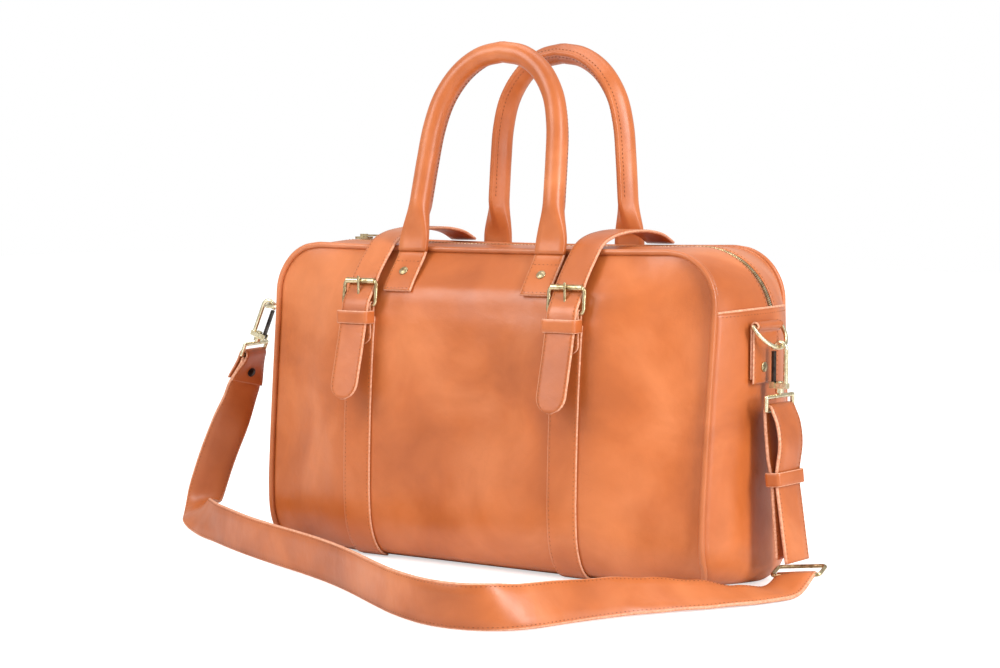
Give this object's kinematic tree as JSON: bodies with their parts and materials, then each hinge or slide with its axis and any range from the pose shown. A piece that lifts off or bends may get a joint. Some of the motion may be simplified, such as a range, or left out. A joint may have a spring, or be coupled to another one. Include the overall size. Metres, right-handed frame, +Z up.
{
  "type": "weekender bag",
  "caption": "Leather weekender bag with rolled top handles, buckled closure belts over a zipped top, end rings and a clip-on shoulder strap lying in front.",
  "frame": {"origin": "on the floor, under the middle of the bag body", "axes": "+X along the bag to its right end, +Y to the back, +Z up; the buckled front faces -Y"},
  "size_m": [0.7073, 0.4659, 0.514],
  "materials": {
    "body_leather": "smooth waxed tan leather",
    "strap_leather": "smooth tan strap leather with pale cut edges",
    "piping_leather": "smooth tan leather cord",
    "aged_brass": "aged brass",
    "dark_metal": "dark plated metal",
    "zip_metal": "brass teeth",
    "zip_cloth": "dark brown woven tape",
    "lining_cloth": "plain woven lining",
    "stiffener_board": "fibre board",
    "rope_core": "twisted rope"
  },
  "bodies": {
    "bag": {"back_gusset": "body_leather", "back_handle_patches": "body_leather", "back_panel": "body_leather", "back_piping": "piping_leather", "back_strip_left": "body_leather", "back_strip_right": "body_leather", "base_board": "stiffener_board", "base_panel": "body_leather", "front_gusset": "body_leather", "front_handle_patches": "body_leather", "front_panel": "body_leather", "front_piping": "piping_leather", "front_strip_left": "body_leather", "front_strip_right": "body_leather", "inner_pocket": "lining_cloth", "left_end_panel": "body_leather", "lining": "lining_cloth", "right_end_panel": "body_leather", "ring_tab_left": "body_leather", "ring_tab_right": "body_leather", "rivets": "aged_brass", "snap_sockets": "dark_metal", "strap_doubled_right": "strap_leather", "strap_drop_left": "strap_leather", "strap_floor_run": "strap_leather", "strap_rivet": "aged_brass", "strap_slider": "aged_brass", "zip_tape_back": "zip_cloth", "zip_tape_front": "zip_cloth", "zip_teeth_back": "zip_metal", "zip_teeth_front": "zip_metal"},
    "zip_slider": {"zip_slider": "aged_brass"},
    "zip_pull": {"zip_pull": "aged_brass"},
    "front_handle": {"front_handle_wrap": "body_leather", "front_handle_core": "rope_core"},
    "back_handle": {"back_handle_wrap": "body_leather", "back_handle_core": "rope_core"},
    "strap_keeper": {"strap_keeper": "strap_leather"},
    "belt_left": {"belt_left": "strap_leather", "buckle_tab_left": "strap_leather", "buckle_frame_left": "aged_brass", "belt_keeper_left": "strap_leather", "snap_cap_left": "dark_metal"},
    "buckle_roller_left": {"buckle_roller_left": "aged_brass"},
    "buckle_prong_left": {"buckle_prong_left": "aged_brass"},
    "ring_left": {"ring_left": "aged_brass"},
    "hook_left": {"hook_left": "aged_brass"},
    "hook_gate_left": {"hook_gate_left": "dark_metal"},
    "hook_loop_left": {"hook_loop_left": "aged_brass"},
    "belt_right": {"belt_right": "strap_leather", "buckle_tab_right": "strap_leather", "buckle_frame_right": "aged_brass", "belt_keeper_right": "strap_leather", "snap_cap_right": "dark_metal"},
    "buckle_roller_right": {"buckle_roller_right": "aged_brass"},
    "buckle_prong_right": {"buckle_prong_right": "aged_brass"},
    "ring_right": {"ring_right": "aged_brass"},
    "hook_right": {"hook_right": "aged_brass"},
    "hook_gate_right": {"hook_gate_right": "dark_metal"},
    "hook_loop_right": {"hook_loop_right": "aged_brass"}
  },
  "joints": [
    {"name": "zip_slide", "type": "slide", "parent": "bag", "child": "zip_slider", "axis": [1, 0, 0], "range_m": [0, 0.392]},
    {"name": "zip_pull_hinge", "type": "hinge", "parent": "zip_slider", "child": "zip_pull", "pos_m": [-0.196, 0, 0.3191], "axis": [0, -1, 0], "range_deg": [0, 80]},
    {"name": "front_handle_fold", "type": "hinge", "parent": "bag", "child": "front_handle", "pos_m": [0, -0.08, 0.306], "axis": [1, 0, 0], "range_deg": [-6, 105]},
    {"name": "back_handle_fold", "type": "hinge", "parent": "bag", "child": "back_handle", "pos_m": [0, 0.08, 0.306], "axis": [-1, 0, 0], "range_deg": [-17, 93]},
    {"name": "strap_keeper_slide", "type": "slide", "parent": "bag", "child": "strap_keeper", "axis": [0.1036, -0.014, -0.9945], "range_m": [-0.042, 0.048]},
    {"name": "belt_lift_left", "type": "hinge", "parent": "bag", "child": "belt_left", "pos_m": [-0.118, 0.078, 0.31], "axis": [-1, 0, 0], "range_deg": [0, 140]},
    {"name": "buckle_roller_spin_left", "type": "hinge", "parent": "belt_left", "child": "buckle_roller_left", "pos_m": [-0.118, -0.114, 0.278], "axis": [1, 0, 0], "continuous": true},
    {"name": "buckle_prong_tilt_left", "type": "hinge", "parent": "belt_left", "child": "buckle_prong_left", "pos_m": [-0.118, -0.117, 0.254], "axis": [1, 0, 0], "range_deg": [0, 50]},
    {"name": "ring_swing_left", "type": "hinge", "parent": "bag", "child": "ring_left", "pos_m": [-0.27975, -0.02271, 0.243], "axis": [-0.134, 0.991, 0], "range_deg": [-25, 25], "deforming": ["strap_drop_left"]},
    {"name": "hook_swing_left", "type": "hinge", "parent": "ring_left", "child": "hook_left", "pos_m": [-0.30354, -0.02593, 0.243], "axis": [-0.134, 0.991, 0], "range_deg": [-10, 12]},
    {"name": "hook_gate_open_left", "type": "hinge", "parent": "hook_left", "child": "hook_gate_left", "pos_m": [-0.31037, -0.02685, 0.20858], "axis": [0.134, -0.991, 0], "range_deg": [0, 15], "stiffness_Nm_per_rad": 0.03, "springref_deg": -17.19},
    {"name": "hook_swivel_left", "type": "hinge", "parent": "hook_left", "child": "hook_loop_left", "pos_m": [-0.31838, -0.02793, 0.20591], "axis": [0.3712, 0.0502, 0.9272], "range_deg": [-20, 20]},
    {"name": "belt_lift_right", "type": "hinge", "parent": "bag", "child": "belt_right", "pos_m": [0.118, 0.078, 0.31], "axis": [-1, 0, 0], "range_deg": [0, 140]},
    {"name": "buckle_roller_spin_right", "type": "hinge", "parent": "belt_right", "child": "buckle_roller_right", "pos_m": [0.118, -0.114, 0.278], "axis": [1, 0, 0], "continuous": true},
    {"name": "buckle_prong_tilt_right", "type": "hinge", "parent": "belt_right", "child": "buckle_prong_right", "pos_m": [0.118, -0.117, 0.254], "axis": [1, 0, 0], "range_deg": [0, 50]},
    {"name": "ring_swing_right", "type": "hinge", "parent": "bag", "child": "ring_right", "pos_m": [0.27975, -0.02271, 0.243], "axis": [-0.134, -0.991, 0], "range_deg": [-3, 40], "deforming": ["strap_doubled_right"]},
    {"name": "hook_swing_right", "type": "hinge", "parent": "ring_right", "child": "hook_right", "pos_m": [0.29373, -0.0246, 0.22358], "axis": [-0.134, -0.991, 0], "range_deg": [-2, 12]},
    {"name": "hook_gate_open_right", "type": "hinge", "parent": "hook_right", "child": "hook_gate_right", "pos_m": [0.28729, -0.02373, 0.18908], "axis": [0.134, 0.991, 0], "range_deg": [0, 15], "stiffness_Nm_per_rad": 0.03, "springref_deg": -17.19},
    {"name": "hook_swivel_right", "type": "hinge", "parent": "hook_right", "child": "hook_loop_right", "pos_m": [0.29373, -0.0246, 0.18358], "axis": [0, 0, 1], "range_deg": [-20, 20]}
  ]
}
